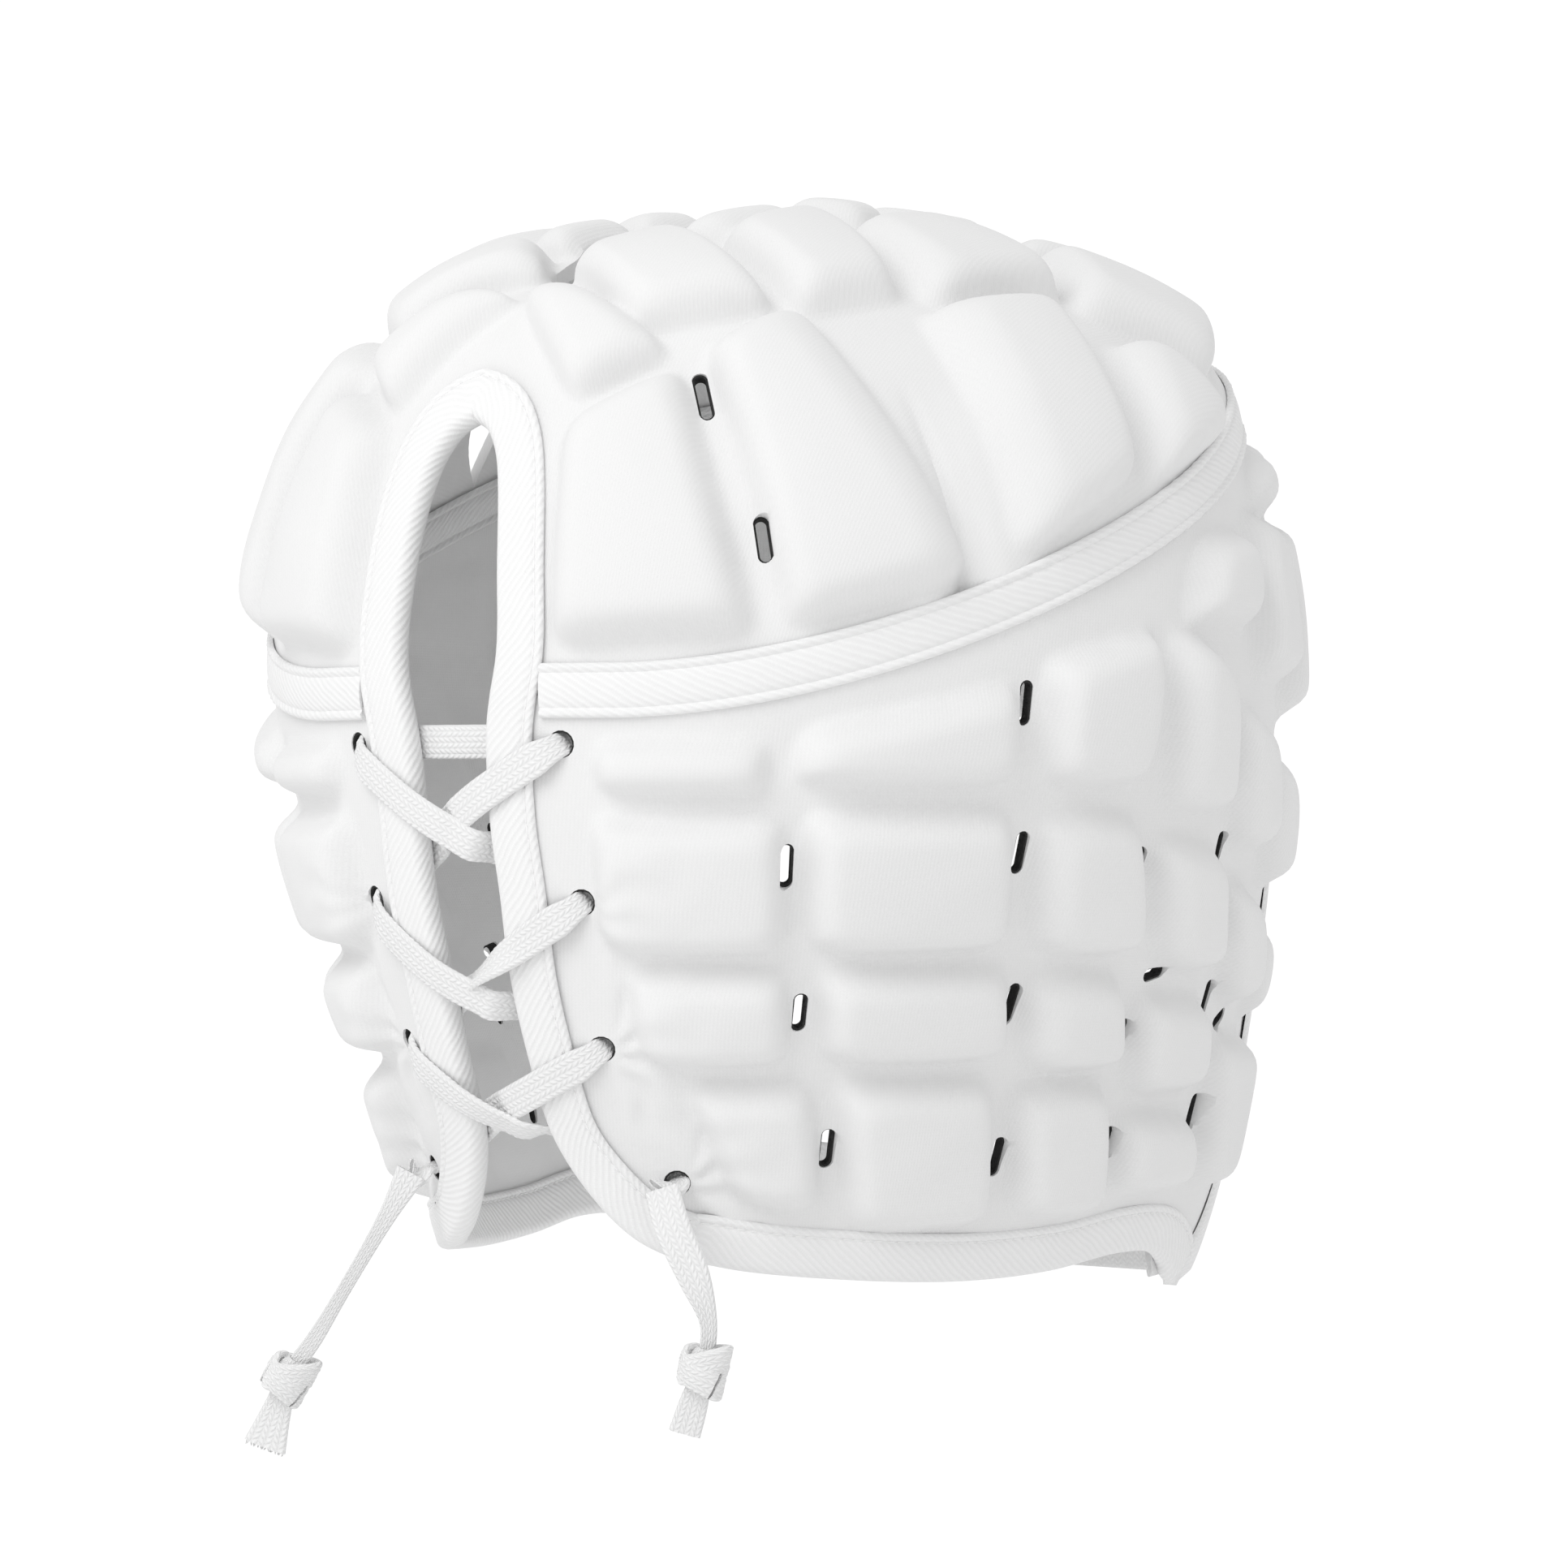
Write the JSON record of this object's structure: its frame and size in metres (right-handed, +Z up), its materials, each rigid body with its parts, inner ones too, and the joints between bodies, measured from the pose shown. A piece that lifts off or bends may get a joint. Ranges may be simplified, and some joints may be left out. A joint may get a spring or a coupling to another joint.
{
  "type": "padded head guard",
  "caption": "Soft padded white cap for contact sport, with raised foam pads, a laced back slot, an open face and a chin strap.",
  "frame": {"origin": "on the cap's middle plane at the height of the top of the head inside the crown, over the middle of the head", "axes": "+Z up, +Y towards the laced back slot, so the wearer faces -Y; +X to the wearer's left"},
  "size_m": [0.2002, 0.2078, 0.233],
  "materials": {
    "shell_jersey": "fine knitted jersey, matt",
    "twill_tape": "herringbone twill, matt",
    "twill_binding": "herringbone twill, matt",
    "strap_webbing": "plain woven webbing, matt",
    "lace_yarn": "flat braided yarn, matt"
  },
  "bodies": {
    "root": {"crown_shell": "shell_jersey", "side_band": "shell_jersey", "seam_tape_outer": "twill_tape", "seam_tape_inner": "twill_tape", "back_binding": "twill_binding", "face_binding": "twill_binding", "chin_strap": "strap_webbing", "lace": "lace_yarn", "lace_tail_left": "lace_yarn", "lace_tail_right": "lace_yarn", "knot_left": "lace_yarn", "knot_right": "lace_yarn"}
  },
  "joints": []
}
